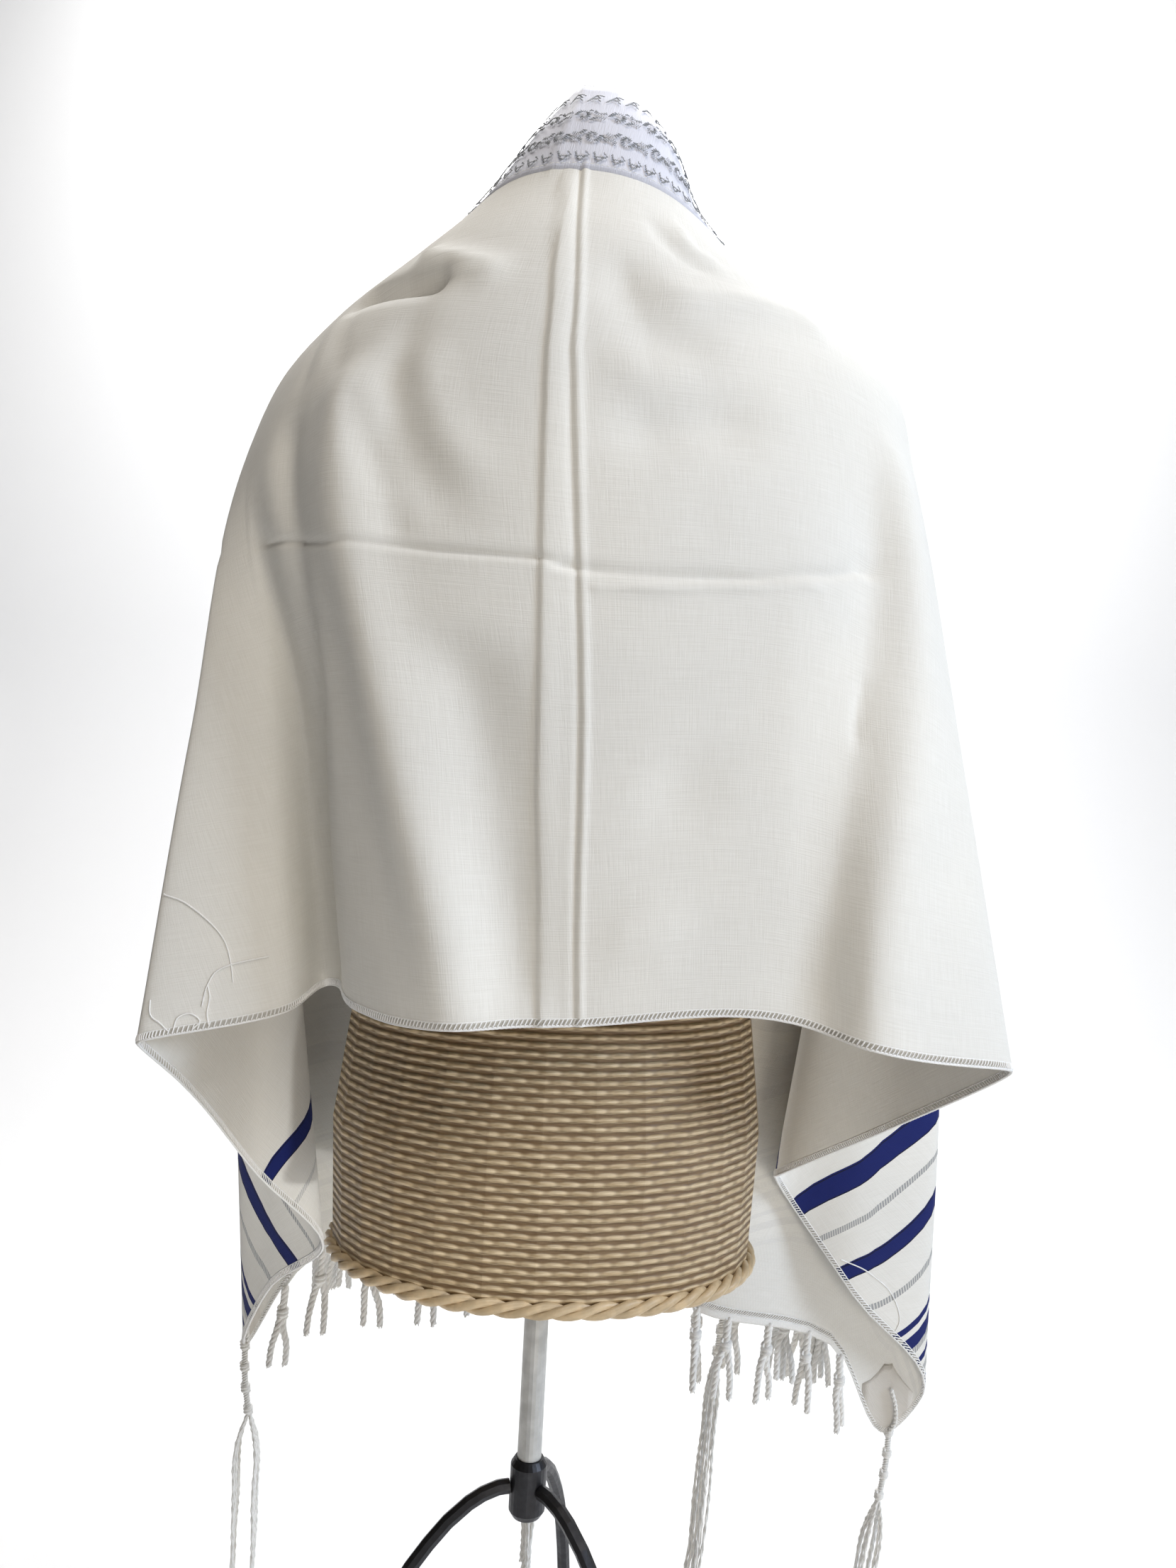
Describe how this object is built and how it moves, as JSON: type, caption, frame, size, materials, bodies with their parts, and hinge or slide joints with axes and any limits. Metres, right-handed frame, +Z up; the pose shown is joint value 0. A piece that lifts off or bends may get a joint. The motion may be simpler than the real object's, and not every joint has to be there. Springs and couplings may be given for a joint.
{
  "type": "tallit prayer shawl on a dress form",
  "caption": "Fringed prayer shawl with a neck band and knotted corner tassels, hung in soft folds over a limbless dress form on a tripod stand.",
  "frame": {"origin": "on the floor, in the middle of the width and depth of the whole", "axes": "+Z up, -Y towards the back of the shawl, +X to the right hand of its wearer"},
  "size_m": [0.5715, 0.4483, 1.4365],
  "materials": {
    "ivory_cloth": "plain weave, matte",
    "white_satin": "satin weave",
    "white_yarn": "twisted yarn",
    "wicker": "woven cane",
    "turned_wood": "satin varnish",
    "dark_iron": "satin",
    "pale_post": "satin"
  },
  "bodies": {
    "root": {"shawl_cloth": "ivory_cloth", "atara_neck_band": "white_satin", "left_front_patch": "white_satin", "left_front_tzitzit": "white_yarn", "left_hem_patch": "white_satin", "left_hem_tzitzit": "white_yarn", "right_hem_patch": "white_satin", "right_hem_tzitzit": "white_yarn", "right_front_patch": "white_satin", "right_front_tzitzit": "white_yarn", "left_fringe": "white_yarn", "right_fringe": "white_yarn", "form_torso": "wicker", "form_neck": "wicker", "form_knob": "turned_wood", "stand_collar": "dark_iron", "stand_post": "pale_post", "stand_hub": "dark_iron", "stand_leg_1": "dark_iron", "stand_foot_1": "dark_iron", "stand_leg_2": "dark_iron", "stand_foot_2": "dark_iron", "stand_leg_3": "dark_iron", "stand_foot_3": "dark_iron"}
  },
  "joints": []
}
